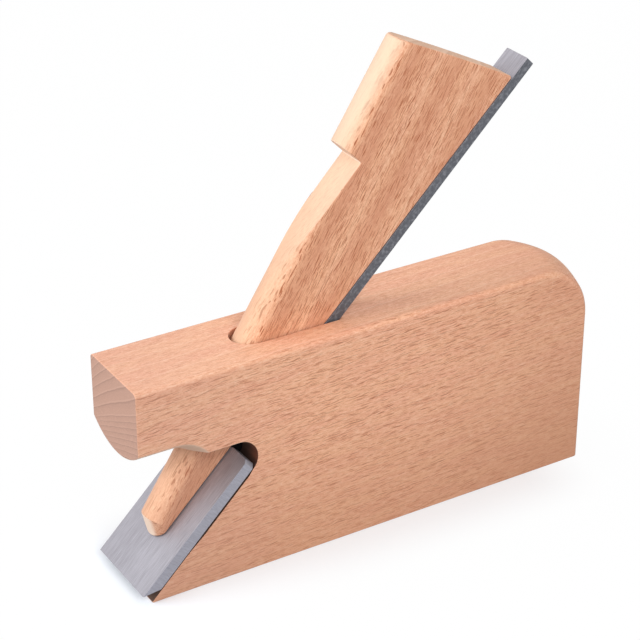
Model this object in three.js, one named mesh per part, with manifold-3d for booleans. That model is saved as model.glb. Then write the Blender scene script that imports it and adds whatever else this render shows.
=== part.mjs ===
// Wooden rabbet plane with an open front: a one-piece beech stock, a full-width iron with a narrow
// tang, and a notched beech wedge that holds the iron on its bed.
// Millimetres, +Z up. X runs from nose to heel, Y across the sole, origin at the middle of the sole.

import * as THREE from 'three';
import { mergeVertices } from 'three/addons/utils/BufferGeometryUtils.js';
import Module from 'manifold-3d';

const wasm = await Module();
wasm.setup();

const degree = Math.PI / 180;

// Stock
const stockLength = 166;
const stockHeight = 74.5;
const stockWidth = 30;
const bedAngle = 45 * degree;
const toeSetback = 2; // the sole starts this far behind the face of the nose
const heelRadius = 18;
const topEasing = 1.2;

// Throat, the open space under the nose, which ends in a round eye
const throatHeight = 47.4;
const eyeRadius = 6.3;

// The nose is milled round underneath, from its face to where the milling cutter stopped
const noseEdgeHeight = 53.1;
const noseCutLength = 12.2;
const noseCutterRadius = 14.4;

// Iron
const ironLength = 203;
const ironThickness = 3.9; // at the cutting edge
const tangTipThickness = 3.2;
const tangWidth = 10.8;
const shoulderChamfer = 1.3;
const shoulderGap = 0.7; // between the shoulders of the blade and the end of the eye, along the bed
const bevelAngle = 38 * degree;
const edgeSetback = 0.5; // from the toe to the cutting edge, measured up the bed

// Wedge
const wedgeLength = 180.6;
const wedgeWidth = 11;
const wedgeTipThickness = 5.9; // where the front line would meet the tip
const wedgeTaper = 12.5 * degree; // between the back and the front of the wedge
const wedgeTipSetback = 15.5; // from the toe to the tip of the wedge, measured up the iron
const wedgeFrontRadius = 5.8;
const headOffset = 1.2; // the head stands this far forward of the lower front line
const headLength = 50.5; // from the notch to the end of the back
const headEndSlope = 19.4 * degree; // the end leans back from square to the iron
const headEndRise = 0.3; // how far the end bulges past its chord
const notchFloorLength = 45;
const notchFloorDepth = 8.6; // from the face of the head to the floor, at the step
const notchFloorSlope = 1.6 * degree; // the floor's slope to the back of the wedge, at the step
const tipRoundRadius = 6;
const tipRake = 31 * degree; // the tip leans back from square to the iron

// Mortise, the slot for tang and wedge
const mortiseWidth = 12.4;
const mortiseSeatGap = 0.35; // ahead of the wedge, at the throat
const mortiseMouthGap = 1.6; // ahead of the wedge, at the top of the stock

const fitGap = 0.3; // between surfaces that lie on each other
const overrun = 10; // cutting tools reach this far past what they cut

const roundSteps = 64; // facets in a full turn of a turned tool
const arcSteps = 12; // facets in a round edge
const easingSteps = 4;
const curveSteps = 14; // facets in the notch floor and the end of the head

const beech = new THREE.MeshStandardMaterial({ color: 0xdcab84, roughness: 0.62, metalness: 0 });
const wedgeBeech = new THREE.MeshStandardMaterial({ color: 0xe4b890, roughness: 0.58, metalness: 0 });
const steel = new THREE.MeshStandardMaterial({ color: 0xa9a9ad, roughness: 0.34, metalness: 1 });

// Joining and cutting

function solidOf(geometry) {
  const bare = geometry.clone();
  bare.deleteAttribute('normal');
  bare.deleteAttribute('uv');
  const merged = mergeVertices(bare);
  return new wasm.Manifold(new wasm.Mesh({
    numProp: 3,
    vertProperties: new Float32Array(merged.attributes.position.array),
    triVerts: new Uint32Array(merged.index.array),
  }));
}

function geometryOf(solid) {
  const mesh = solid.getMesh();
  const geometry = new THREE.BufferGeometry();
  geometry.setAttribute('position', new THREE.BufferAttribute(new Float32Array(mesh.vertProperties), 3));
  geometry.setIndex(new THREE.BufferAttribute(new Uint32Array(mesh.triVerts), 1));
  geometry.computeVertexNormals();
  return geometry;
}

function piece(name, solid, material) {
  const mesh = new THREE.Mesh(geometryOf(solid), material);
  mesh.name = name;
  return mesh;
}

// A side view drawn in X and Z, given its width along Y, middle on the plane Y = 0
function acrossWidth(shape, width, options = {}) {
  const geometry = new THREE.ExtrudeGeometry(shape, {
    depth: width, bevelEnabled: false, curveSegments: arcSteps, ...options,
  });
  geometry.translate(0, 0, -width / 2);
  geometry.rotateX(Math.PI / 2);
  return solidOf(geometry);
}

// A bar of one section along a line of the side view. The section's first axis is Y and its second
// points away from the bed.
function barAlong(section, from, angle, length) {
  const along = new THREE.Vector3(Math.cos(angle), 0, Math.sin(angle));
  const outward = new THREE.Vector3(-Math.sin(angle), 0, Math.cos(angle));
  const place = new THREE.Matrix4().makeBasis(new THREE.Vector3(0, 1, 0), outward, along);
  place.setPosition(from.x, 0, from.y);
  const geometry = new THREE.ExtrudeGeometry(section, {
    depth: length, bevelEnabled: false, curveSegments: 2 * arcSteps,
  });
  geometry.applyMatrix4(place);
  return solidOf(geometry);
}

// A section with a round front that touches the line at zero, straight sides and a far back
function roundFronted(width, radius, depth) {
  const half = width / 2;
  const spread = Math.asin(Math.min(1, half / radius));
  const section = new THREE.Shape();
  section.moveTo(-half, -depth);
  section.lineTo(half, -depth);
  section.absarc(0, -radius, radius, Math.PI / 2 - spread, Math.PI / 2 + spread, false);
  section.closePath();
  return section;
}

// Places in the bed's frame: x runs up the bed from the toe, y stands away from the bed

function alongBedAtHeight(height, line) {
  const slope = Math.tan(line.angle);
  const start = line.offset;
  const x = (height - start * Math.cos(bedAngle)) / (Math.sin(bedAngle) + slope * Math.cos(bedAngle));
  return new THREE.Vector2(x, start + slope * x);
}

const ironTaper = Math.atan((ironThickness - tangTipThickness) / ironLength);
const wedgeLift = fitGap + ironThickness + fitGap; // back of the wedge above the bed, at the toe
const frontAngle = wedgeTaper - ironTaper;
const frontLine = {
  angle: frontAngle,
  offset: wedgeLift + wedgeTipThickness - wedgeTipSetback * Math.tan(frontAngle),
};

// The middle of the eye, measured up the bed from the toe, and where a plane that lies one fit gap off
// the bed meets the end of the eye
const eyeMiddle = (throatHeight - eyeRadius - eyeRadius * Math.cos(bedAngle)) / Math.sin(bedAngle);
const eyeEnd = eyeMiddle + Math.sqrt(eyeRadius ** 2 - (eyeRadius - fitGap) ** 2);

// Stock

function stockBlock() {
  const outline = new THREE.Shape();
  outline.moveTo(0, 0);
  outline.lineTo(stockLength, 0);
  outline.lineTo(stockLength, stockHeight - heelRadius);
  outline.absarc(stockLength - heelRadius, stockHeight - heelRadius, heelRadius, 0, Math.PI / 2, false);
  outline.lineTo(0, stockHeight);
  outline.closePath();
  return acrossWidth(outline, stockWidth, { curveSegments: 2 * arcSteps });
}

// The same block with all its long edges eased. It starts ahead of the nose and below the sole, so
// that only the edges of the top and the heel are eased where the two overlap.
function easedBlock() {
  const inner = heelRadius - topEasing;
  const top = stockHeight - topEasing;
  const heel = stockLength - topEasing;
  const outline = new THREE.Shape();
  outline.moveTo(-overrun, -overrun);
  outline.lineTo(heel, -overrun);
  outline.lineTo(heel, stockHeight - heelRadius);
  outline.absarc(stockLength - heelRadius, stockHeight - heelRadius, inner, 0, Math.PI / 2, false);
  outline.lineTo(-overrun, top);
  outline.closePath();
  const straight = stockWidth - 2 * topEasing;
  return acrossWidth(outline, straight, {
    bevelEnabled: true,
    bevelSize: topEasing,
    bevelThickness: topEasing,
    bevelSegments: easingSteps,
    curveSegments: 2 * arcSteps,
  });
}

function throatTool() {
  const eyeHeight = throatHeight - eyeRadius;
  const eyeX = toeSetback + eyeMiddle * Math.cos(bedAngle) - eyeRadius * Math.sin(bedAngle);
  const outline = new THREE.Shape();
  outline.moveTo(-overrun, throatHeight);
  outline.lineTo(-overrun, -overrun);
  outline.lineTo(toeSetback - overrun / Math.tan(bedAngle), -overrun);
  outline.lineTo(toeSetback, 0);
  outline.absarc(eyeX, eyeHeight, eyeRadius, bedAngle - Math.PI / 2, Math.PI / 2, false);
  outline.closePath();
  return acrossWidth(outline, stockWidth + 2 * overrun, { curveSegments: 3 * arcSteps });
}

// The milled underside of the nose, as a height above the sole at each place across the width
const noseSag = noseEdgeHeight - throatHeight;
const noseRadius = (stockWidth * stockWidth / 4 + noseSag * noseSag) / (2 * noseSag);
const noseCutReach = (stockWidth / 2 + noseRadius) / 2;

function noseUnderside(y) {
  return throatHeight + noseRadius - Math.sqrt(noseRadius * noseRadius - y * y);
}

function noseMillingTools() {
  const places = Array.from({ length: 2 * arcSteps + 1 }, (_, i) => noseCutReach * (i / arcSteps - 1));

  const section = new THREE.Shape();
  section.moveTo(-noseCutReach, throatHeight - overrun);
  section.lineTo(noseCutReach, throatHeight - overrun);
  for (const y of [...places].reverse()) section.lineTo(y, noseUnderside(y));
  section.closePath();
  const sweep = new THREE.ExtrudeGeometry(section, { depth: noseCutLength + overrun, bevelEnabled: false });
  sweep.translate(0, 0, -overrun);
  sweep.applyMatrix4(new THREE.Matrix4().makeBasis(
    new THREE.Vector3(0, 1, 0), new THREE.Vector3(0, 0, 1), new THREE.Vector3(1, 0, 0),
  ));

  const axisHeight = noseEdgeHeight - noseCutterRadius;
  const profile = [
    new THREE.Vector2(0, -noseCutReach),
    ...places.map((y) => new THREE.Vector2(noseUnderside(y) - axisHeight, y)),
    new THREE.Vector2(0, noseCutReach),
  ];
  const runOut = new THREE.LatheGeometry(profile, roundSteps);
  runOut.translate(noseCutLength, 0, axisHeight);
  return solidOf(sweep).add(solidOf(runOut));
}

function mortiseTool() {
  const low = alongBedAtHeight(throatHeight, frontLine);
  const high = alongBedAtHeight(stockHeight, frontLine);
  low.y += mortiseSeatGap;
  high.y += mortiseMouthGap;
  const wall = high.clone().sub(low);
  const angle = wall.angle();
  const start = low.clone().addScaledVector(wall.clone().normalize(), -overrun);
  const slot = roundFronted(mortiseWidth, mortiseWidth / 2, stockHeight);
  const bar = barAlong(slot, start, angle, wall.length() + 3 * overrun);

  // the room above the bed, from inside the throat to past the top of the stock
  const room = new THREE.Shape();
  room.moveTo(low.x - overrun, 0);
  room.lineTo(low.x + 2 * stockHeight, 0);
  room.lineTo(low.x + 2 * stockHeight, 2 * stockHeight);
  room.lineTo(low.x - overrun, 2 * stockHeight);
  room.closePath();
  const tool = bar.intersect(acrossWidth(room, stockWidth));
  return tool.rotate([0, -bedAngle / degree, 0]).translate([toeSetback, 0, 0]);
}

function stock() {
  const block = stockBlock().intersect(easedBlock());
  return block.subtract(throatTool()).subtract(noseMillingTools()).subtract(mortiseTool());
}

// Iron, drawn on the bed: its back is flat and its front thins towards the tip of the tang

function iron() {
  const back = fitGap;
  const front = back + ironThickness;
  const end = edgeSetback + ironLength;
  const side = new THREE.Shape();
  side.moveTo(edgeSetback, front);
  side.lineTo(edgeSetback + ironThickness / Math.tan(bevelAngle), back);
  side.lineTo(end, back);
  side.lineTo(end, back + tangTipThickness);
  side.closePath();

  const shoulder = eyeEnd - shoulderGap;
  const halfBlade = stockWidth / 2;
  const halfTang = tangWidth / 2;
  const plan = new THREE.Shape();
  plan.moveTo(edgeSetback - overrun, -halfBlade);
  plan.lineTo(shoulder - shoulderChamfer, -halfBlade);
  plan.lineTo(shoulder, -halfBlade + shoulderChamfer);
  plan.lineTo(shoulder, -halfTang);
  plan.lineTo(end + overrun, -halfTang);
  plan.lineTo(end + overrun, halfTang);
  plan.lineTo(shoulder, halfTang);
  plan.lineTo(shoulder, halfBlade - shoulderChamfer);
  plan.lineTo(shoulder - shoulderChamfer, halfBlade);
  plan.lineTo(edgeSetback - overrun, halfBlade);
  plan.closePath();
  const sheet = new THREE.ExtrudeGeometry(plan, { depth: ironThickness + 2 * overrun, bevelEnabled: false });
  sheet.translate(0, 0, -overrun);
  return acrossWidth(side, stockWidth + overrun).intersect(solidOf(sheet));
}

// Wedge, drawn on the iron: x runs up the iron from the tip, y stands away from the iron

const notchX = wedgeLength - headLength;
const wedgeFrontAt = (x) => wedgeTipThickness + x * Math.tan(wedgeTaper);

// The floor leaves the step nearly level and bends down to run out along the lower front line
function notchFloor() {
  const runOutX = notchX - notchFloorLength;
  const step = new THREE.Vector2(notchX, wedgeFrontAt(notchX) + headOffset - notchFloorDepth);
  const runOut = new THREE.Vector2(runOutX, wedgeFrontAt(runOutX));
  const slope = Math.tan(notchFloorSlope);
  const meetX = (step.y - runOut.y + runOut.x * Math.tan(wedgeTaper) - step.x * slope)
    / (Math.tan(wedgeTaper) - slope);
  const meet = new THREE.Vector2(meetX, step.y + (meetX - step.x) * slope);
  return { step, meet, runOut };
}

function headEnd() {
  const rear = new THREE.Vector2(wedgeLength, 0);
  const frontX = (wedgeLength - (wedgeTipThickness + headOffset) * Math.tan(headEndSlope))
    / (1 + Math.tan(wedgeTaper) * Math.tan(headEndSlope));
  const front = new THREE.Vector2(frontX, wedgeFrontAt(frontX) + headOffset);
  const chord = front.clone().sub(rear);
  const outward = new THREE.Vector2(chord.y, -chord.x).normalize();
  const bulge = rear.clone().add(front).multiplyScalar(0.5).addScaledVector(outward, 2 * headEndRise);
  return { rear, front, bulge };
}

function lowerSide() {
  const { step, meet, runOut } = notchFloor();
  const { rear } = headEnd();
  const side = new THREE.Shape();
  side.moveTo(-overrun, 0);
  side.lineTo(rear.x - headEndRise, 0);
  side.lineTo(rear.x - headLength / 2, step.y);
  side.lineTo(step.x, step.y);
  side.quadraticCurveTo(meet.x, meet.y, runOut.x, runOut.y);
  side.lineTo(-overrun, wedgeFrontAt(-overrun));
  side.closePath();
  return side;
}

function headSide() {
  const { rear, front, bulge } = headEnd();
  const side = new THREE.Shape();
  side.moveTo(notchX, 0);
  side.lineTo(rear.x, rear.y);
  side.quadraticCurveTo(bulge.x, bulge.y, front.x, front.y);
  side.lineTo(notchX, wedgeFrontAt(notchX) + headOffset);
  side.closePath();
  return side;
}

// The round of the tip, seen square to the iron, carried up the rake
function tipTool() {
  const half = wedgeWidth / 2;
  const bite = tipRoundRadius - Math.sqrt(tipRoundRadius * tipRoundRadius - half * half);
  const spread = Math.asin(half / tipRoundRadius);
  const plan = new THREE.Shape();
  plan.moveTo(wedgeLength + overrun, -half);
  plan.lineTo(wedgeLength + overrun, half);
  plan.lineTo(bite, half);
  plan.absarc(tipRoundRadius, 0, tipRoundRadius, Math.PI - spread, Math.PI + spread, false);
  plan.closePath();
  const height = wedgeFrontAt(wedgeLength) + headOffset + overrun;
  const rake = new THREE.ExtrudeGeometry(plan, {
    depth: height, bevelEnabled: false, curveSegments: 2 * arcSteps,
  });
  rake.applyMatrix4(new THREE.Matrix4().makeShear(0, 0, 0, 0, Math.tan(tipRake), 0));
  return solidOf(rake);
}

function wedge() {
  const section = roundFronted(wedgeWidth, wedgeFrontRadius, stockHeight);
  const length = wedgeLength + 2 * overrun;
  const back = -overrun;
  const lowerFront = new THREE.Vector2(back, wedgeFrontAt(back));
  const headFront = new THREE.Vector2(back, wedgeFrontAt(back) + headOffset);
  const flat = { curveSegments: curveSteps };
  const lower = barAlong(section, lowerFront, wedgeTaper, length)
    .intersect(acrossWidth(lowerSide(), wedgeWidth, flat));
  const head = barAlong(section, headFront, wedgeTaper, length)
    .intersect(acrossWidth(headSide(), wedgeWidth, flat));
  return lower.add(head).intersect(tipTool());
}

// Assembly

const plane = new THREE.Group();
plane.position.x = -(toeSetback + stockLength) / 2;
plane.add(piece('stock', stock(), beech));

const onBed = new THREE.Group();
onBed.position.x = toeSetback;
onBed.rotation.y = -bedAngle;
plane.add(onBed);
onBed.add(piece('iron', iron(), steel));

const onIron = new THREE.Group();
onIron.position.z = wedgeLift;
onIron.rotation.y = ironTaper;
onBed.add(onIron);
const wedgePiece = piece('wedge', wedge(), wedgeBeech);
wedgePiece.position.x = wedgeTipSetback;
onIron.add(wedgePiece);

const rabbetPlane = new THREE.Group();
rabbetPlane.add(plane);

export default rabbetPlane;
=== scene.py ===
# %% [markdown]
# # A wooden rabbet plane with an open front
#
# The real tool is three pieces. The stock is one block of beech, open in front, so that the cutting
# edge stands right at its nose. The iron is a steel blade as wide as the sole, with a narrow tang.
# The wedge is a long slip of beech that jams the tang in a slanted mortise. This lesson dresses each
# piece in turn: first its shape, as a stack of outlines, and then its finish, as a procedural
# material.

import math

import bmesh
import bpy
import numpy as np
from mathutils import Matrix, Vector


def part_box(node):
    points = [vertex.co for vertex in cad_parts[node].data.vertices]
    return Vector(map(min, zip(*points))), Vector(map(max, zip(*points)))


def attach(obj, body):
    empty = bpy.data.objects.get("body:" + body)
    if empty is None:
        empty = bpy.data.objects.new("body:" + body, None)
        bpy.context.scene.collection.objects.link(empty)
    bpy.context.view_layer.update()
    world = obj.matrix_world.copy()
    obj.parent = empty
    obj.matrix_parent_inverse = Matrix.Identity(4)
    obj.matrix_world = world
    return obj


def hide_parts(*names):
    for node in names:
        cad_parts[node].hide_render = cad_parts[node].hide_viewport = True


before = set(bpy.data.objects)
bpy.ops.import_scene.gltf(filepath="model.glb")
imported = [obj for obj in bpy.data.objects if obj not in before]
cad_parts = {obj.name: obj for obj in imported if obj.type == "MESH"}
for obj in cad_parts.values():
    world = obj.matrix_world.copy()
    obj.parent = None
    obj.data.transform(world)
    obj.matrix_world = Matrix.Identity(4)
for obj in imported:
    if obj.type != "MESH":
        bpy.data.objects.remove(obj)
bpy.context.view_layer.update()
mm = 0.001

# %% [markdown]
# ## Stacks of outlines
#
# All three pieces are made in the same way. A workshop would cut each one from a flat board or strip,
# so its side view (for the iron, its plan) tells nearly everything. The surface is a stack of such
# outlines: layer after layer across the width, each a little different where a face is rounded. The
# first parameter of the surface is the layer, and the second runs round the outline.
#
# Real edges are never quite sharp. A saw leaves a crisp arris, a plane takes it off, and a hand rubs
# it round. So each outline has rounded corners, and the layers next to a side face draw in along a
# quarter circle.

# %% Outline helpers
sharp_angle = math.radians(28)


def spot(across, along, up):
    """Points of the side view, one for each layer: along and up may be numbers or one value a layer."""
    along, up, _ = np.broadcast_arrays(along, up, across)
    return np.stack([along, up], -1)


def unit(direction):
    """A direction of length one, for each layer."""
    return direction / np.linalg.norm(direction, axis=-1, keepdims=True)


def corner(before, at, after, radius, steps=5):
    """A rounded corner, for all layers at once: the arc that touches both sides of the corner.

    The arc is the rational curve ((1-t)^2 A + 2t(1-t) w B + t^2 C) / ((1-t)^2 + 2t(1-t) w + t^2),
    where B is the corner, A and C are the points where the arc leaves the sides, and w is the cosine
    of half the turn. With that weight the curve is a true circle.
    """
    arriving, leaving = unit(at - before), unit(after - at)
    half_turn = np.arccos(np.clip((arriving * leaving).sum(-1), -1, 1)) / 2
    reach = (radius * np.tan(half_turn))[:, None]
    start, end = at - arriving * reach, at + leaving * reach
    t = np.linspace(0, 1, steps + 1)[None, :, None]
    weight = np.cos(half_turn)[:, None, None]
    shares = ((1 - t) ** 2, 2 * t * (1 - t) * weight, t**2)
    blend = shares[0] * start[:, None] + shares[1] * at[:, None] + shares[2] * end[:, None]
    return blend / (shares[0] + shares[1] + shares[2])


def bend(start, control, end, shares):
    """Points of the curve (1-t)^2 A + 2t(1-t) B + t^2 C at the shares t, one row of shares a layer."""
    t = np.asarray(shares)[..., None]
    return (1 - t) ** 2 * start + 2 * t * (1 - t) * control + t**2 * end


def drawn_in(across, half, radius):
    """How far a layer draws in near a side face: r - sqrt(r^2 - d^2), d being how far it is past the
    place where the edge starts to round."""
    past = np.clip(np.abs(across) - (half - radius), 0, radius)
    return radius - np.sqrt(radius**2 - past**2)


def layer_places(half, radii, flat_layers, edge_layers):
    """Places of the layers across a width: even over the flat middle, and closer along each rounding."""
    flat = np.linspace(-1, 1, flat_layers) * (half - max(radii))
    turns = np.linspace(0, math.pi / 2, edge_layers + 1)
    edges = [half - radius + radius * np.sin(turns) for radius in radii]
    places = np.concatenate([flat, *edges, *[-edge for edge in edges]])
    return np.unique(np.round(places, 7))


def skin(name, layers):
    """A closed mesh from a stack of outlines: quads between layers, and one flat face at each end."""
    count, points = layers.shape[:2]
    step = np.arange(points)
    ahead = np.roll(step, -1)
    low = np.arange(count - 1)[:, None] * points
    quads = np.stack([low + step, low + ahead, low + points + ahead, low + points + step], -1)
    ends = [step[::-1].tolist(), ((count - 1) * points + step).tolist()]
    mesh = bpy.data.meshes.new(name)
    mesh.from_pydata(layers.reshape(-1, 3).tolist(), [], quads.reshape(-1, 4).tolist() + ends)
    work = bmesh.new()
    work.from_mesh(mesh)
    if work.calc_volume(signed=True) < 0:
        bmesh.ops.reverse_faces(work, faces=work.faces)
    work.to_mesh(mesh)
    work.free()
    piece = bpy.data.objects.new(name, mesh)
    bpy.context.scene.collection.objects.link(piece)
    print(name, "has", len(mesh.vertices), "points and", len(mesh.polygons), "faces")
    return piece


def applied(piece):
    """The piece with its modifiers made part of its mesh."""
    graph = bpy.context.evaluated_depsgraph_get()
    solid = bpy.data.meshes.new_from_object(piece.evaluated_get(graph))
    piece.modifiers.clear()
    piece.data = solid
    return piece


def shaded(piece):
    """Smooth shading, broken at sharp edges, with normals that keep the flat faces flat."""
    piece.data.shade_smooth()
    piece.data.set_sharp_from_angle(angle=sharp_angle)
    normals = piece.modifiers.new("flat faces stay flat", "WEIGHTED_NORMAL")
    normals.keep_sharp = True
    return piece


# %% [markdown]
# ## Where things are
#
# The sizes come from the frame where it can give them. The rest are the maker's own sizes: the bed
# at 45 degrees, the eye at the end of the throat, the taper of iron and wedge. Two small frames help
# to place pieces: one lies on the bed and starts at the toe, and one lies on the iron.

# %% Shared sizes
stock_low, stock_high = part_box("stock")
nose_x, heel_x = stock_low.x, stock_high.x
half_width, top_z = stock_high.y, stock_high.z
toe_setback = 2 * mm
toe_x = nose_x + toe_setback
bed_angle = math.radians(45)
fit_gap = 0.3 * mm

iron_thickness = 3.9 * mm
tang_tip_thickness = 3.2 * mm
iron_length = 203 * mm
edge_setback = 0.5 * mm
thinning = (iron_thickness - tang_tip_thickness) / iron_length
iron_lean = math.atan(thinning)


def on_bed(along, off):
    """Side-view points, as x and z, from a place up the bed and a height off it."""
    x = toe_x + along * math.cos(bed_angle) - off * math.sin(bed_angle)
    z = along * math.sin(bed_angle) + off * math.cos(bed_angle)
    return x, z


def on_iron(along, off):
    """The same from a place up the front of the iron, counted from the toe, and a height off it."""
    lift = 2 * fit_gap + iron_thickness
    up_bed = along * math.cos(iron_lean) + off * math.sin(iron_lean)
    off_bed = lift - along * math.sin(iron_lean) + off * math.cos(iron_lean)
    return on_bed(up_bed, off_bed)


print("sole from", round(toe_x / mm, 1), "to", round(heel_x / mm, 1), "mm, iron leans",
      round(math.degrees(iron_lean), 2), "degrees")

# %% [markdown]
# ## The stock
#
# The stock starts as a planed block. The heel is rounded to fit the palm, more at the sides than in
# the middle, so it is crowned from side to side. The long edges of the top are eased, while the sole
# and the nose keep crisp edges, and the bed a sharp one. A cutter has milled the nose round from
# below, and its round end shows as a small ramp inside the throat. The throat ends in a drilled eye,
# so that it doesn't split the wood. Below the eye the bed is a little hollow, so that the iron bears
# at its ends, and a thin dark line shows there, made darker by painted shade on the bed.
#
# A box with modifiers could give the block, but not the rounded nose and the crowned heel, which
# change from layer to layer. As a stack of side views each layer only needs its own height of the
# nose and its own radius of the heel.

# %% The outline of the stock
heel_middle_radius = 12 * mm
heel_side_radius = 20 * mm
top_easing = 1.5 * mm
fine_easing = 0.35 * mm
bed_easing = 0.08 * mm
bed_hollow = 0.45 * mm
hollow_end_share = 0.66
hollow_steep_share = 0.05
hollow_slow_share = 0.2
throat_z = 47.4 * mm
eye_radius = 6.3 * mm
nose_edge_z = 53.1 * mm
nose_cut_length = 12.2 * mm
nose_cut_x = nose_x + nose_cut_length
nose_cutter_radius = 14.4 * mm
nose_cutter_z = nose_edge_z - nose_cutter_radius


def nose_underside(across):
    """Height of the milled nose: a circle through both side edges and the roof of the throat."""
    sag = nose_edge_z - throat_z
    radius = (half_width**2 + sag**2) / (2 * sag)
    return throat_z + radius - np.sqrt(radius**2 - across**2)


def hollowed_bed(eye_end, toe_start):
    """Points of the bed from the eye down to the toe. Its upper two thirds are a little hollow: it
    sinks by bed_hollow times s^2 (3 - 2s), where s rises fast below the eye and falls slowly."""
    shares = np.linspace(0.0, 1.0, 42)[1:-1, None]
    sunk = np.clip(shares / hollow_steep_share, 0, 1)
    sunk = sunk * np.clip((hollow_end_share - shares) / hollow_slow_share, 0, 1)
    inward = np.array([math.sin(bed_angle), -math.cos(bed_angle)])
    depth = bed_hollow * sunk**2 * (3 - 2 * sunk)
    return eye_end[:, None] + (toe_start - eye_end)[:, None] * shares + inward * depth


def stock_outlines(across):
    """Side views of the stock, layer by layer, from the toe along the sole and back over the top."""
    eased = drawn_in(across, half_width, top_easing)
    crisp = drawn_in(across, half_width, fine_easing)
    sharp = drawn_in(across, half_width, bed_easing)
    heel_growth = (heel_side_radius - heel_middle_radius) * (across / half_width) ** 2
    heel_radius = heel_middle_radius + heel_growth
    roof = throat_z + crisp
    milled = nose_underside(across) + crisp
    toe = spot(across, toe_x + crisp / math.tan(bed_angle) + sharp / math.sin(bed_angle), crisp)
    heel = spot(across, heel_x - eased, crisp)
    crown = spot(across, heel_x - eased, top_z - eased)
    brow = spot(across, nose_x + crisp, top_z - eased)
    lip = spot(across, nose_x + crisp, milled)
    ramp_top = spot(across, nose_cut_x, milled)
    eye = toe + spot(across, (roof - crisp) / math.tan(bed_angle), roof - crisp)

    ramp_radius = milled - nose_cutter_z
    ramp_end = np.arcsin(np.clip((roof - nose_cutter_z) / ramp_radius, -1, 1))
    turns = np.linspace(math.pi / 2, ramp_end, 14, axis=1)
    ramp = np.stack([
        nose_cut_x + ramp_radius[:, None] * np.cos(turns),
        nose_cutter_z + ramp_radius[:, None] * np.sin(turns),
    ], -1)
    toe_corner = corner(eye, toe, heel, fine_easing)
    eye_arc = corner(ramp[:, -1], eye, toe, eye_radius + crisp, steps=32)
    return np.concatenate([
        toe_corner,
        corner(toe, heel, crown, fine_easing),
        corner(heel, crown, brow, heel_radius - eased, steps=28),
        corner(crown, brow, lip, fine_easing),
        corner(brow, lip, ramp_top, fine_easing),
        ramp,
        eye_arc,
        hollowed_bed(eye_arc[:, -1], toe_corner[:, 0]),
    ], 1)


# %% [markdown]
# The mortise is a slot, round in front like the wedge and flat behind, where it carries on the bed, a
# hair behind its line. Its front is steeper than the wedge's, so the gap ahead of the wedge opens
# towards the top. Its plug is a stack too, of level outlines, and a Boolean takes it out of the
# stock. The last layers of the plug flare, which eases the rim of the mouth.

# %% The stock with its mortise
wedge_taper = math.radians(12.5)
wedge_tip_thickness = 5.9 * mm
wedge_tip_setback = 15.5 * mm
mortise_half = 6.2 * mm
mortise_seat_gap = 0.35 * mm
mortise_mouth_gap = 1.6 * mm
mortise_rear_gap = 0.02 * mm
mouth_easing = 0.25 * mm
plug_below = 6 * mm
plug_above = 4 * mm


def wedge_front_at(height):
    """X of the front of the wedge at a height, on its middle line."""
    reach = np.linspace(0, iron_length, 9)
    x, z = on_iron(wedge_tip_setback + reach, wedge_tip_thickness + reach * math.tan(wedge_taper))
    return np.interp(height, z, x)


def mortise_plug():
    """The space of the mortise: level outlines whose front is an ellipse, as a slant cut of a round."""
    ahead_x = math.sin(bed_angle)
    ahead_z = math.cos(bed_angle)
    low_z = throat_z + mortise_seat_gap * ahead_z
    high_z = top_z + mortise_mouth_gap * ahead_z
    low_x = wedge_front_at(throat_z) - mortise_seat_gap * ahead_x
    high_x = wedge_front_at(top_z) - mortise_mouth_gap * ahead_x
    lean = math.atan2(high_z - low_z, high_x - low_x)

    turns = np.linspace(0, math.pi / 2, 5)
    flare_z = top_z - mouth_easing * (1 - np.sin(turns))
    z = np.concatenate([[throat_z - plug_below], flare_z, [top_z + plug_above]])
    flare = np.concatenate([[0], mouth_easing * (1 - np.cos(turns)), [mouth_easing]])
    front = low_x + (z - low_z) / math.tan(lean) - flare
    rear = (toe_x + z / math.tan(bed_angle) + flare + mortise_rear_gap)[:, None]
    half = (mortise_half + flare)[:, None]
    round_turns = np.linspace(-math.pi / 2, math.pi / 2, 40)[None, :]
    rounded = front[:, None] + half / math.sin(lean) * (1 - np.cos(round_turns))
    x = np.concatenate([rounded, rear, rear], 1)
    y = np.concatenate([half * np.sin(round_turns), half, -half], 1)
    return skin("mortise_plug", np.stack([x, y, np.broadcast_to(z[:, None], x.shape)], -1))


def make_stock():
    """The stock: its stack of side views, less the plug of the mortise."""
    easings = (top_easing, fine_easing, bed_easing)
    across = layer_places(half_width, easings, flat_layers=26, edge_layers=6)
    outlines = stock_outlines(across)
    depth = np.broadcast_to(across[:, None], outlines.shape[:2])
    stock = skin("beech_stock", np.stack([outlines[..., 0], depth, outlines[..., 1]], -1))
    plug = mortise_plug()
    cut = stock.modifiers.new("mortise", "BOOLEAN")
    cut.operation, cut.solver, cut.object = "DIFFERENCE", "EXACT", plug
    applied(stock)
    bpy.data.objects.remove(plug)
    return shaded(stock)


stock = make_stock()
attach(stock, "stock")
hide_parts("stock")
print("stock:", len(stock.data.polygons), "faces")

# %% [markdown]
# ## The iron
#
# The iron is cut from a steel strip that thins a little towards the end of the tang. Its plan is the
# outline here: a blade as wide as the sole, two square shoulders with their corners taken off, and
# the tang. The layers run from the back to the front, and the layers near each face draw in a
# little, as the grinding wheel leaves them. Only the cutting edge stays sharp: there each layer
# starts a little further down than the last, along the bevel.

# %% The iron
tang_half = 5.4 * mm
shoulder_chamfer = 1.3 * mm
shoulder_gap = 0.7 * mm
bevel_angle = math.radians(38)
steel_easing = 0.07 * mm
edge_corner = 0.02 * mm
plan_corner = 0.3 * mm
tang_corner = 0.4 * mm


def shoulder_place():
    """How far up the bed the shoulders are: a gap short of the end of the eye."""
    eye_middle = (throat_z - eye_radius * (1 + math.cos(bed_angle))) / math.sin(bed_angle)
    eye_end = eye_middle + math.sqrt(eye_radius**2 - (eye_radius - fit_gap) ** 2)
    return eye_end - shoulder_gap


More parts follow.
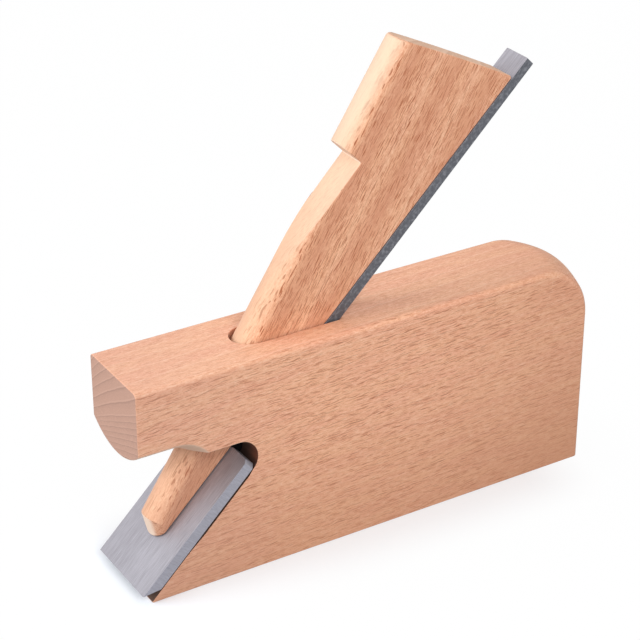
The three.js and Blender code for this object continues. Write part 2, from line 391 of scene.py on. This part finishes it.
def make_iron():
    """The iron: plans of the blade and the tang, stacked from its back to its front."""
    turns = np.linspace(0, math.pi / 2, 5)
    rise = steel_easing * (1 - np.cos(turns))
    inset = steel_easing * (1 - np.sin(turns))
    inset = np.concatenate([inset, inset[::-1]])
    from_back = np.concatenate([rise, iron_thickness - rise[::-1]])
    near_front = np.concatenate([np.zeros(rise.size), np.ones(rise.size)])[:, None]

    edge = edge_setback + (iron_thickness - from_back) / math.tan(bevel_angle)
    shoulder = shoulder_place() - inset
    end = edge_setback + iron_length - inset
    wide, narrow = half_width - inset, tang_half - inset
    half = [
        spot(inset, edge, wide),
        spot(inset, shoulder - shoulder_chamfer, wide),
        spot(inset, shoulder, wide - shoulder_chamfer),
        spot(inset, shoulder, narrow),
        spot(inset, end, narrow),
    ]
    mirror = np.array([1, -1])
    ring = half + [point * mirror for point in reversed(half)]
    radii = [edge_corner, plan_corner, plan_corner, plan_corner, tang_corner]
    radii = radii + radii[::-1]
    count = len(ring)
    plan = np.concatenate([
        corner(ring[i - 1], ring[i], ring[(i + 1) % count], radii[i]) for i in range(count)
    ], 1)
    along, across = plan[..., 0], plan[..., 1]
    thinner = thinning * (along - edge_setback) * near_front
    x, z = on_bed(along, fit_gap + from_back[:, None] - thinner)
    return shaded(skin("steel_iron", np.stack([x, across, z], -1)))


iron = make_iron()
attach(iron, "iron")
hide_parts("iron")
print("shoulders", round(shoulder_place() / mm, 2), "mm up the bed")

# %% [markdown]
# ## The wedge
#
# The wedge is sawn, then its front is run through a round cutter, so the front is part of a circle
# from side to side. Near the top a notch leaves a step, which a hammer taps to free the wedge, and a
# flat floor that runs out along the round front. The tip is cut at a slant and rounded.
#
# In each layer the round front stands a little further back. So the end of the floor, where it runs
# out into the round, isn't at the same place in every layer: it is where the floor's curve crosses
# that layer's front, and a row of points follows it, which keeps the edge of the floor clean. The
# points of the floor and of the head's end keep a small share of each clear, for the corners.

# %% The wedge
wedge_length = 180.6 * mm
wedge_half = 5.5 * mm
wedge_front_radius = 5.8 * mm
wedge_easing = 0.45 * mm
tip_corner = 0.4 * mm
rear_corner = 0.8 * mm
brow_corner = 1.3 * mm
head_foot_corner = 0.35 * mm
step_foot_corner = 0.5 * mm
run_out_corner = 1.5 * mm
corner_share = 0.03
head_offset = 1.2 * mm
head_length = 50.5 * mm
head_end_slope = math.radians(19.4)
head_end_rise = 0.3 * mm
notch_floor_length = 45 * mm
notch_floor_depth = 8.6 * mm
notch_floor_slope = math.radians(1.6)
tip_round_radius = 6 * mm
tip_rake = math.radians(31)
notch_x = wedge_length - head_length


def crest(x):
    """Height of the lower front line over the back of the wedge."""
    return wedge_tip_thickness + x * math.tan(wedge_taper)


def floor_curve():
    """The notch floor: nearly level at the step, then bending down to meet the front line."""
    run_out_x = notch_x - notch_floor_length
    start = np.array([notch_x, crest(notch_x) + head_offset - notch_floor_depth])
    end = np.array([run_out_x, crest(run_out_x)])
    slope, steep = math.tan(notch_floor_slope), math.tan(wedge_taper)
    meet_x = (start[1] - end[1] + end[0] * steep - start[0] * slope) / (steep - slope)
    return start, np.array([meet_x, start[1] + (meet_x - start[0]) * slope]), end


def end_curve():
    """The end of the head: a slant from the back of the wedge to its front, slightly domed."""
    rear = np.array([wedge_length, 0.0])
    slope = math.tan(head_end_slope)
    start_height = wedge_tip_thickness + head_offset
    front_x = (wedge_length - start_height * slope) / (1 + math.tan(wedge_taper) * slope)
    front = np.array([front_x, crest(front_x) + head_offset])
    outward = unit(np.array([front[1] - rear[1], rear[0] - front[0]]))
    return rear, (rear + front) / 2 + 2 * head_end_rise * outward, front


def share_where(curve, drop, offset=0.0):
    """The share of a curve at which it lies a given drop below the front line, layer by layer."""
    shares = np.linspace(0, 1, 400)
    points = bend(*curve, shares)
    below = crest(points[:, 0]) + offset - points[:, 1]
    order = np.argsort(below)
    return np.interp(drop, below[order], shares[order])


def make_wedge():
    """The wedge: side views stacked across its width, each with its own height of the round front."""
    across = layer_places(wedge_half, (wedge_easing,), flat_layers=36, edge_layers=6)
    crisp = drawn_in(across, wedge_half, wedge_easing)
    sag = wedge_front_radius - np.sqrt(wedge_front_radius**2 - across**2)
    drop = (sag + crisp) / math.cos(wedge_taper)
    bite = tip_round_radius - np.sqrt(tip_round_radius**2 - across**2) + crisp / math.cos(tip_rake)

    end, floor = end_curve(), floor_curve()
    end_share = share_where(end, drop, head_offset)
    floor_share = share_where(floor, drop)
    end_steps = np.linspace(corner_share, 1 - corner_share, 14)
    floor_steps = np.linspace(corner_share, 1 - corner_share, 30)
    end_points = bend(*end, end_share[:, None] * end_steps) - spot(across, crisp, 0)[:, None]
    floor_points = bend(*floor, floor_share[:, None] * floor_steps) - spot(across, 0, crisp)[:, None]

    tip_height = (wedge_tip_thickness - drop + bite * math.tan(wedge_taper)) / (
        1 - math.tan(tip_rake) * math.tan(wedge_taper))
    tip_back = spot(across, bite, crisp)
    tip_front = spot(across, bite + tip_height * math.tan(tip_rake), tip_height)
    rear = spot(across, wedge_length - crisp, crisp)
    brow = bend(*end, end_share)
    head_foot = spot(across, notch_x + crisp, crest(notch_x) + head_offset - drop)
    step_foot = spot(across, notch_x + crisp, floor[0][1] - crisp)
    run_out = bend(*floor, floor_share)

    outline = np.concatenate([
        corner(tip_front, tip_back, rear, tip_corner),
        corner(tip_back, rear, end_points[:, 0], rear_corner),
        end_points,
        corner(end_points[:, -1], brow, head_foot, brow_corner),
        corner(brow, head_foot, step_foot, head_foot_corner),
        corner(head_foot, step_foot, floor_points[:, 0], step_foot_corner),
        floor_points,
        corner(floor_points[:, -1], run_out, tip_front, run_out_corner),
        corner(run_out, tip_front, tip_back, tip_corner),
    ], 1)
    x, z = on_iron(wedge_tip_setback + outline[..., 0], outline[..., 1])
    depth = np.broadcast_to(across[:, None], x.shape)
    return shaded(skin("beech_wedge", np.stack([x, depth, z], -1)))


wedge = make_wedge()
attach(wedge, "wedge")
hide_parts("wedge")

# %% [markdown]
# ## Shader maths
#
# A material is a small program. Written as nodes it is hard to read, so a socket is wrapped in a
# class that knows sums: 1 - mask makes the Math node for it. A second class holds the material and
# makes any other node, with a short method for each kind that comes back.

# %% A socket that can do sums


class Socket:
    """A number, a vector or a colour that changes over the surface, with the sums used on numbers."""

    def __init__(self, finish, link):
        self.finish, self.link = finish, link

    def maths(self, operation, *values):
        """A Math node on these values."""
        return self.finish.node("ShaderNodeMath", {"operation": operation}, values, 0)

    def size(self):
        """The number without its sign."""
        return self.maths("ABSOLUTE", self)

    def fraction(self):
        """What is left of the number when its whole part is taken off."""
        return self.maths("FRACT", self)

    def at_least(self, other):
        """The larger of two numbers."""
        return self.maths("MAXIMUM", self, other)

    def at_most(self, other):
        """The smaller of two numbers."""
        return self.maths("MINIMUM", self, other)

    def __add__(self, other):
        return self.maths("ADD", self, other)

    def __sub__(self, other):
        return self.maths("SUBTRACT", self, other)

    def __rsub__(self, other):
        return self.maths("SUBTRACT", other, self)

    def __mul__(self, other):
        return self.maths("MULTIPLY", self, other)

    def __truediv__(self, other):
        return self.maths("DIVIDE", self, other)

    def __pow__(self, other):
        return self.maths("POWER", self, other)

    __radd__ = __add__


class Finish:
    """A material under construction, or a world."""

    def __init__(self, name, owner=None):
        self.material = owner or bpy.data.materials.new(name)
        self.material.use_nodes = True
        self.tree = self.material.node_tree
        self.tree.nodes.clear()

    def node(self, kind, settings, values, output):
        """A node of a kind: its settings first, then its sockets' values or links, then one output."""
        made = self.tree.nodes.new(kind)
        for key, setting in settings.items():
            setattr(made, key, setting)
        pairs = values.items() if isinstance(values, dict) else enumerate(values)
        for key, value in pairs:
            socket = made.inputs[key]
            if isinstance(value, Socket):
                self.tree.links.new(value.link, socket)
            else:
                socket.default_value = value
        return Socket(self, made.outputs[output])

    def split(self, vector):
        """The three numbers of a vector."""
        first = self.node("ShaderNodeSeparateXYZ", {}, [vector], 0)
        outputs = first.link.node.outputs
        return first, Socket(self, outputs[1]), Socket(self, outputs[2])

    def join(self, x, y, z):
        """A vector from three numbers."""
        return self.node("ShaderNodeCombineXYZ", {}, [x, y, z], 0)

    def noise(self, vector, detail=2.0, roughness=0.5):
        """Smooth noise from 0 to 1, whose largest features are about a unit wide."""
        values = {"Vector": vector, "Scale": 1.0, "Detail": detail, "Roughness": roughness}
        return self.node("ShaderNodeTexNoise", {"normalize": True}, values, 0)

    def cells(self, vector):
        """The distance to the nearest cell's middle, and a random number that belongs to the cell."""
        values = {"Vector": vector, "Scale": 1.0, "Randomness": 1.0}
        distance = self.node("ShaderNodeTexVoronoi", {"feature": "F1"}, values, "Distance")
        colour = Socket(self, distance.link.node.outputs["Color"])
        return distance, self.split(colour)[0]

    def ramp(self, value, low, high, to_low=0.0, to_high=1.0):
        """A smooth step from low to high."""
        values = {0: value, 1: low, 2: high, 3: to_low, 4: to_high}
        return self.node("ShaderNodeMapRange", {"interpolation_type": "SMOOTHSTEP"}, values, 0)

    def mix(self, share, first, second):
        """Two colours mixed."""
        settings = {"data_type": "RGBA", "blend_type": "MIX"}
        return self.node("ShaderNodeMix", settings, {0: share, 6: first, 7: second}, 2)

    def place(self, turn=(0.0, 0.0, 0.0)):
        """Where the surface is, in millimetres, turned so that X runs along the piece's grain."""
        where = self.node("ShaderNodeTexCoord", {}, {}, "Object")
        values = {"Vector": where, "Rotation": turn, "Scale": (1 / mm,) * 3}
        return self.node("ShaderNodeMapping", {"vector_type": "POINT"}, values, 0)

    def turned_to(self, direction):
        """One where the piece's surface faces this way, minus one where it faces the other way."""
        facing = self.node("ShaderNodeTexCoord", {}, {}, "Normal")
        return self.node("ShaderNodeVectorMath", {"operation": "DOT_PRODUCT"}, [facing, direction], 1)

    def surface(self, colour, roughness, metallic, height, bump_distance):
        """The shader at the end: a principled surface with a bump."""
        bump = {"Strength": 1.0, "Distance": bump_distance, "Height": height}
        values = {"Base Color": colour, "Roughness": roughness, "Metallic": metallic,
                  "Normal": self.node("ShaderNodeBump", {}, bump, 0)}
        shader = self.node("ShaderNodeBsdfPrincipled", {}, values, 0)
        self.node_output(shader)
        return self.material

    def node_output(self, shader, kind="ShaderNodeOutputMaterial"):
        """The end of the tree, with the shader on it."""
        output = self.tree.nodes.new(kind)
        self.tree.links.new(shader.link, output.inputs["Surface"])


def tone(red, green, blue):
    """A colour as it looks on a screen, 0 to 255, in the linear light that shaders use."""
    screen = np.array([red, green, blue]) / 255
    linear = np.where(screen <= 0.04045, screen / 12.92, ((screen + 0.055) / 1.055) ** 2.4)
    return (*linear.tolist(), 1.0)


# %% [markdown]
# ## Beech
#
# Beech is one solid stuff, cut open by each face, so its figure is worked out in space and not on
# the surface. The coordinates run along the grain, out from the heart of the tree, and round it. The
# growth rings are nearly flat sheets here, because the heart lay far outside the block. The rays are
# thin plates that stand on the rings: cut across they are the short brown dashes that tell beech from
# any other wood, and where a face runs along them they widen to flecks.

# %% The rings and rays of beech
row_stagger_share = 0.38
layer_stagger_share = 0.27
ray_reach_share = 0.36
ray_core_share = 0.22
wood_bump = 0.015 * mm


class Log:
    """How a piece lay in its log. turn brings X along the grain. lie is the angle of the rings to the
    level in the end grain, and they fan out from the place meeting, at (y, z) in mm. The ring that
    meets the near face at the height first is a strong one. wide and narrow are the widths of the
    rings above it and below it, and edge is the share of a ring over which its late wood ends.
    fineness and plate are the room that each ray has round the heart and outwards, in mm. contrast is
    how plain the rays are, and flecks the share of it that stays where a face runs along them."""

    def __init__(self, turn, lie, meeting, near, first, wide, narrow, edge, fineness, plate, contrast,
                 flecks):
        self.turn, self.lie, self.meeting, self.near = turn, lie, meeting, near
        self.first, self.wide, self.narrow, self.edge = first, wide, narrow, edge
        self.fineness, self.plate, self.contrast, self.flecks = fineness, plate, contrast, flecks


def ring_share(finish, log, x, y, z):
    """Where a point lies within its ring, from 0 to 1: the height at which the ring meets the near
    face, less the first ring's, over the ring's width."""
    wander = finish.noise(finish.join(x * 0.012, y * 0.04, z * 0.04)) - 0.5
    ripple = finish.noise(finish.join(x * 0.05 + 7.0, y * 0.35, z * 0.35)) - 0.5
    middle_y, middle_z = log.meeting
    fan = (z + wander * 2.0 + ripple * 0.5 - middle_z) / (middle_y - y)
    height = fan * (middle_y - log.near) + (middle_z - log.first)
    wide = height.at_least(0.0) * (1 / log.wide)
    narrow = height.at_most(0.0) * (1 / log.narrow)
    return (wide + narrow).fraction()


def rays(finish, x, round_heart, outward, length, thickness, depth, weak):
    """Rays of one size: each cell holds one flat ellipsoid, and weak is the share of faint ones. Each
    row and layer of cells starts a share of a length further on than the last, so no columns show."""
    row = round_heart * (1 / thickness)
    layer = outward * (1 / depth)
    start = row * row_stagger_share + layer * layer_stagger_share
    distance, chance = finish.cells(finish.join(x * (1 / length) + start, row, layer))
    return finish.ramp(distance, ray_reach_share, ray_core_share) * finish.ramp(chance, weak, 0.8)


def beech(name, log, tones):
    """Beech cut from a log: its colour, roughness and height."""
    finish = Finish(name)
    x, y, z = finish.split(finish.place(log.turn))
    across, up = math.cos(log.lie), math.sin(log.lie)
    waver = finish.noise(finish.join(x * 0.16, y * 0.3, z * 0.3)) - 0.5
    round_heart = y * across - z * up + waver * 0.7
    outward = y * up + z * across

    ring = ring_share(finish, log, x, y, z)
    line = finish.ramp(ring, 0.8, 0.94) * finish.ramp(ring, 1.0, 0.96)
    late = finish.ramp(ring, 0.25, 1 - log.edge) * finish.ramp(ring, 1.0, 1 - log.edge)
    early = finish.ramp(ring, 0.16, 0.04)

    lean = log.turn[1]
    end_grain = finish.ramp(finish.turned_to((math.cos(lean), 0.0, math.sin(lean))).size(), 0.72, 0.97)
    side_grain = 1.0 - end_grain

    streaks = finish.join(x * 0.05, round_heart * 1.6, outward * 0.8)
    streak = finish.noise(streaks, detail=3.0, roughness=0.6)
    fibres = finish.join(x * 0.5, round_heart * 4.2, outward * 2.4)
    fibre = finish.noise(fibres, detail=1.0, roughness=0.6)
    patch = finish.noise(finish.join(x * 0.03, y * 0.14, z * 0.2), detail=3.0, roughness=0.6)
    pores = finish.noise(finish.join(x * 1.8, y * 3.0, z * 3.0), detail=1.0)

    long_rays = rays(finish, x, round_heart, outward,
                     length=9.0, thickness=log.fineness, depth=log.plate, weak=0.1)
    short_rays = rays(finish, x + 3.0, round_heart, outward + 5.0,
                      length=4.6, thickness=log.fineness, depth=log.plate * 0.6, weak=0.0)
    slant = finish.turned_to((up * math.sin(lean), across, -up * math.cos(lean))).size()
    showing = finish.ramp(slant, 0.45, 0.8, 0.5, 1.0)
    fading = finish.ramp(slant, across + 0.01, across + 0.09, 1.0, log.flecks)
    figure = (long_rays + short_rays) * showing * fading * log.contrast

    wood = finish.mix(finish.ramp(patch, 0.36, 0.64), tones["honey"], tones["rosy"])
    wood = finish.mix(finish.ramp(streak, 0.4, 0.75) * 0.36, wood, tones["deep"])
    grit = fibre + pores * 0.6
    wood = finish.mix(finish.ramp(grit, 0.76, 1.05) * 0.75, wood, tones["deep"])
    wood = finish.mix(early * 0.3 + finish.ramp(grit, 0.8, 0.5) * 0.75, wood, tones["pale"])
    wood = finish.mix(late * tones["ring_share"], wood, tones["deep"])
    dark_pores = finish.ramp(pores, 0.35, 0.7) * 0.45
    ends = finish.mix(late * 0.4 + dark_pores, tones["end"], tones["end_late"])
    ends = finish.mix(line * 0.4, ends, tones["end_line"])
    ends = finish.mix(early * 0.4 + finish.ramp(pores, 0.5, 0.25) * 0.3, ends, tones["end_early"])
    wood = finish.mix(end_grain, wood, ends)
    wood = finish.mix(figure * (side_grain * 0.8 + 0.1), wood, tones["ray"])

    roughness = 0.52 + fibre * 0.12 + end_grain * 0.12
    height = fibre * 0.4 + pores * 0.3
    return finish, wood, roughness, height


# %% [markdown]
# The nose shows how the stock lay in its log: the rings rise from the far side to the near one at
# about 31 degrees, wide above and narrow below. The grain rises a little towards the heel. The wall
# of the eye is painted nearly black as painted shade, brown near the sides and blackest deep inside.
# The bed is painted dark as shade under the iron, and the milled round under the nose is freshly cut
# and pale. The sides are painted darker towards the sole, the heel and the nose, as painted shade
# where the light falls off.

# %% The beech of the stock
stock_log = Log(
    turn=(0.0, math.radians(1.5), 0.0), lie=math.radians(31), meeting=(58.0, 31.5),
    near=-half_width / mm, first=70.2, wide=5.6, narrow=2.35, edge=0.04, fineness=0.18, plate=5.0,
    contrast=0.85, flecks=0.0)
stock_tones = {
    "honey": tone(236, 181, 146), "rosy": tone(231, 171, 141), "deep": tone(208, 144, 111),
    "pale": tone(240, 196, 166), "ray": tone(156, 86, 50), "ring_share": 0.14,
    "end": tone(190, 148, 128), "end_late": tone(168, 131, 113), "end_line": tone(128, 99, 84),
    "end_early": tone(211, 169, 149),
}


def stock_finish():
    """Planed beech, with painted shade in the eye, on the bed and where the light falls off."""
    finish, wood, roughness, height = beech("planed_beech", stock_log, stock_tones)
    x, y, z = finish.split(finish.place())
    radius, side = eye_radius / mm, half_width / mm
    eye_z = throat_z / mm - radius
    foot_z = eye_z - radius * math.cos(bed_angle)
    eye_x = toe_x / mm + foot_z / math.tan(bed_angle) - radius * math.sin(bed_angle)
    # Painted shade: the wall of the eye is painted nearly black, brown near the sides.
    away = ((x - eye_x) ** 2.0 + (z - eye_z) ** 2.0) ** 0.5
    wall = finish.ramp(finish.turned_to((0.0, 1.0, 0.0)).size(), 0.8, 0.4)
    painted_eye_shade = finish.ramp(away, radius + 1.5, radius + 0.5) * wall
    painted_depth_shade = finish.ramp(y.size(), side - 1.0, side - 7.0)
    wood = finish.mix(painted_eye_shade * 0.97, wood, finish.mix(painted_depth_shade, tone(104, 50, 26), tone(9, 5, 4)))
    below = finish.turned_to((0.0, 0.0, -1.0))
    milled = finish.ramp(below, 0.15, 0.5) * finish.ramp(z, 30.0, 34.0) * (1.0 - painted_eye_shade)
    wood = finish.mix(milled * 0.8, wood, tone(243, 212, 186))
    # Painted shade: darker towards the sole and towards the heel, where the light falls off.
    painted_falloff_shade = finish.ramp(z, 55.0, -5.0) * 0.4 + finish.ramp(x, 10.0, 90.0) * 0.3
    wood = finish.mix(painted_falloff_shade, wood, tone(190, 134, 102))
    # Painted shade: a little darker towards the nose.
    wood = finish.mix(finish.ramp(x, -20.0, -80.0) * 0.2, wood, tone(179, 141, 130))
    # Painted shade: the bed under the iron is painted dark, so the gap along the iron shows as a dark
    # line.
    bed = finish.turned_to((-math.sin(bed_angle), 0.0, math.cos(bed_angle)))
    painted_bed_shade = finish.ramp(bed, 0.8, 0.97) * finish.ramp(z, 46.0, 44.0)
    wood = finish.mix(painted_bed_shade * 0.9, wood, tone(44, 30, 24))
    return finish.surface(wood, roughness, metallic=0.0, height=height, bump_distance=wood_bump)


stock.data.materials.clear()
stock.data.materials.append(stock_finish())

# %% [markdown]
# The wedge was cut with its rings at 45 degrees to its faces and its grain along its front. That puts
# the flecks on the near rounding. The round front is painted paler than the sides, palest at the head,
# as a painted highlight where it faces the light. The sawn tip is as pale, and the sides are painted
# darker down in the throat, as shade under the nose.

# %% The beech of the wedge
wedge_turn = bed_angle + wedge_taper
wedge_log = Log(
    turn=(0.0, wedge_turn, 0.0), lie=math.radians(45), meeting=(80.0, -20.0),
    near=-wedge_half / mm, first=74.0, wide=15.0, narrow=15.0, edge=0.4, fineness=0.24, plate=1.8,
    contrast=1.35, flecks=0.8)
wedge_tones = {
    "honey": tone(230, 174, 138), "rosy": tone(222, 163, 131), "deep": tone(200, 136, 104),
    "pale": tone(240, 192, 158), "ray": tone(160, 88, 50), "ring_share": 0.5,
    "end": tone(230, 190, 162), "end_late": tone(212, 168, 138), "end_line": tone(196, 152, 122),
    "end_early": tone(242, 208, 182),
}


def wedge_finish():
    """Moulded beech, with a painted highlight on the round front and painted shade in the throat."""
    finish, wood, roughness, height = beech("moulded_beech", wedge_log, wedge_tones)
    outward = (-math.sin(wedge_turn), 0.0, math.cos(wedge_turn))
    front = finish.ramp(finish.turned_to(outward), 0.4, 1.0)
    z = finish.split(finish.place())[2]
    # Painted highlight: the round front is paler where it faces the light, palest at the head.
    wood = finish.mix(front * finish.ramp(z, 40.0, 75.0, 0.4, 0.55), wood, tone(220, 185, 155))
    wood = finish.mix(front * finish.ramp(z, 80.0, 150.0) * 0.55, wood, tone(236, 211, 185))
    # Painted shade: the sides are darker low down in the throat, under the nose.
    wood = finish.mix(finish.ramp(z, 54.0, 44.0) * (0.3 - front * 0.3), wood, tone(178, 130, 108))
    tip_lean = bed_angle - tip_rake
    tip = finish.ramp(finish.turned_to((-math.cos(tip_lean), 0.0, -math.sin(tip_lean))), 0.8, 0.97)
    wood = finish.mix(tip * 0.9, wood, tone(247, 220, 198))
    return finish.surface(wood, roughness, metallic=0.0, height=height, bump_distance=wood_bump)


wedge.data.materials.clear()
wedge.data.materials.append(wedge_finish())

# %% [markdown]
# ## Steel
#
# The blade is surface ground, so fine straight lines run along its face and across its edges. The
# tang is bright on its face, but its edges keep the dark mottled skin of the rolled strip. Its foot,
# inside the mortise by the eye, is painted nearly black as painted shade.

# %% The steel
steel_bump = 0.004 * mm


def steel():
    """Ground steel, bright on its faces, mottled on the edges of the tang, with painted shade at its
    foot.
    """
    finish = Finish("ground_steel")
    x, y, z = finish.split(finish.place((0.0, bed_angle, 0.0)))
    face_lines = finish.noise(finish.join(x * 0.12, y * 5.0, z * 0.5), roughness=0.7)
    edge_lines = finish.noise(finish.join(x * 4.5, y * 0.5, z * 0.5), roughness=0.6)
    cloud = finish.noise(finish.join(x * 0.06, y * 0.1, z * 0.1))
    mottle = finish.noise(finish.join(x * 0.75, y * 0.9, z * 0.9), detail=4.0, roughness=0.65)

    edge = finish.ramp(finish.turned_to((0.0, 1.0, 0.0)).size(), 0.6, 0.9)
    tang_edge = tang_half / mm
    narrow = finish.ramp(y.size(), tang_edge + 0.6, tang_edge + 0.2)
    rolled = edge * narrow

    bright = finish.ramp(face_lines * 0.8 + cloud * 0.2, 0.25, 0.75)
    face = finish.mix(bright, tone(150, 146, 153), tone(192, 189, 197))
    ground = finish.mix(edge, face, finish.mix(edge_lines, tone(136, 135, 144), tone(182, 182, 194)))
    skin_tone = finish.mix(finish.ramp(mottle, 0.42, 0.75), tone(100, 102, 109), tone(142, 144, 151))
    colour = finish.mix(rolled, ground, skin_tone)
    # Painted shade: the foot of the tang, inside the mortise by the eye, is painted nearly black.
    shoulders = (toe_x * math.cos(bed_angle) + shoulder_place()) / mm
    painted_foot_shade = narrow * finish.ramp(x, shoulders - 0.6, shoulders + 0.1)
    painted_foot_shade = painted_foot_shade * finish.ramp(x, shoulders + 27.0, shoulders + 15.0)
    colour = finish.mix(painted_foot_shade, colour, tone(26, 25, 27))
    roughness = 0.46 + face_lines * 0.12 + rolled * 0.1
    return finish.surface(colour, roughness, metallic=0.6, height=face_lines, bump_distance=steel_bump)


iron.data.materials.clear()
iron.data.materials.append(steel())

# %% [markdown]
# ## The studio
#
# The photograph is a plain product shot on a white sheet: one large soft light from the left, a
# weaker one from the front, a faint one from behind, and a white room that fills the shadows. The
# camera stands a good half metre away, 31 degrees to the left of the side and 28 degrees up. The
# sheet and the room look white to the camera and in reflections, while their light on the object
# stays at a plain level.

# %% Floor and room
room_level = 0.44
seen_paper = (0.86, 0.88, 0.92, 1.0)
lighting_paper = (0.32, 0.32, 0.32, 1.0)
white = (1.0, 1.0, 1.0, 1.0)


def seen_directly(finish):
    """One for rays from the camera, by a reflection and through glass, and zero for the others."""
    seen = [finish.node("ShaderNodeLightPath", {}, {}, kind + " Ray")
            for kind in ("Is Camera", "Is Glossy", "Is Transmission")]
    return seen[0].at_least(seen[1].at_least(seen[2]))


def floor_finish():
    """A pale sheet that looks white, and keeps the shadow close to the object and below its iron."""
    finish = Finish("white_sheet")
    x, y = finish.split(finish.place())[:2]
    past_end = x.size() - heel_x / mm
    past_side = y.size() - half_width / mm
    away = past_end.at_least(past_side)
    seen = seen_directly(finish)
    nearest = finish.ramp(x, -60.0, -84.0, 0.5, 0.1) + finish.ramp(x, 55.0, 84.0, 0.0, 0.46)
    glow_share = seen * finish.ramp(away, 0.0, 26.0, nearest, 0.985)
    paper = finish.mix(seen, lighting_paper, seen_paper)
    diffuse = finish.node("ShaderNodeBsdfDiffuse", {}, {"Color": paper}, 0)
    glow = finish.node("ShaderNodeEmission", {}, {"Color": white, "Strength": 1.0}, 0)
    finish.node_output(finish.node("ShaderNodeMixShader", {}, [glow_share, diffuse, glow], 0))
    return finish.material


floor_half = 4.0
corners = [(-floor_half, -floor_half, 0), (floor_half, -floor_half, 0),
           (floor_half, floor_half, 0), (-floor_half, floor_half, 0)]
floor_mesh = bpy.data.meshes.new("floor")
floor_mesh.from_pydata(corners, [], [(0, 1, 2, 3)])
floor_mesh.materials.append(floor_finish())
floor = bpy.data.objects.new("floor", floor_mesh)
bpy.context.scene.collection.objects.link(floor)

room = Finish("white_room", bpy.data.worlds.new("white_room"))
bpy.context.scene.world = room.material
strength = room.ramp(seen_directly(room), 0.0, 1.0, room_level, 1.0)
sky = room.node("ShaderNodeBackground", {}, {"Color": white, "Strength": strength}, 0)
room.node_output(sky, "ShaderNodeOutputWorld")

# %% Lights and camera
lit_place = np.array([0.0, 0.0, 60 * mm])


def pointing(right, up, back, place):
    """The matrix that turns a lamp or camera to these three directions and sets it at a place."""
    matrix = np.identity(4)
    matrix[:3] = np.stack([right, up, back, place], 1)
    return Matrix(matrix.tolist())


def lamp(name, place, size, power, colour):
    """A square soft light at a place, facing the object. It doesn't show, not in the steel either."""
    light = bpy.data.lights.new(name, "AREA")
    light.shape, light.size, light.energy, light.color = "SQUARE", size, power, colour
    holder = bpy.data.objects.new(name, light)
    bpy.context.scene.collection.objects.link(holder)
    away = unit(np.array(place) - lit_place)
    side = unit(np.cross((0.0, 0.0, 1.0), away))
    over = np.cross(away, side)
    holder.matrix_world = pointing(side, over, away, place)
    holder.visible_camera = holder.visible_glossy = False


lamp("key_light", place=(-0.82, 0.3, 0.5), size=0.6, power=7.7, colour=(0.95, 1.0, 1.04))
lamp("fill_light", place=(-0.15, -0.72, 0.58), size=0.6, power=6.1, colour=white[:3])
lamp("back_light", place=(0.5, 0.9, 0.45), size=0.8, power=1.8, colour=white[:3])

camera_azimuth = math.radians(-31.4)
camera_elevation = math.radians(28.31)
camera_distance = 624.8 * mm
camera_right = 53.4 * mm
camera_up = 87.5 * mm
lens_share_of_frame = 3.1886
sensor_width = 36.0


def photo_camera():
    """The camera: it looks along its azimuth and elevation, from a distance measured to the near
    lower corner of the nose, and stands a little to the right of that corner and above it."""
    a, e = camera_azimuth, camera_elevation
    right = np.array([math.cos(a), math.sin(a), 0.0])
    back = np.array([math.sin(a) * math.cos(e), -math.cos(a) * math.cos(e), math.sin(e)])
    up = np.cross(back, right)
    near_corner = np.array([nose_x, -half_width, 0.0])
    place = near_corner + camera_distance * back + camera_right * right + camera_up * up
    lens = bpy.data.cameras.new("photo_camera")
    lens.sensor_width = sensor_width
    lens.lens = lens_share_of_frame * sensor_width
    holder = bpy.data.objects.new("photo_camera", lens)
    bpy.context.scene.collection.objects.link(holder)
    holder.matrix_world = pointing(right, up, back, place)
    return holder


bpy.context.scene.camera = photo_camera()
bpy.context.scene.view_settings.view_transform = "Standard"
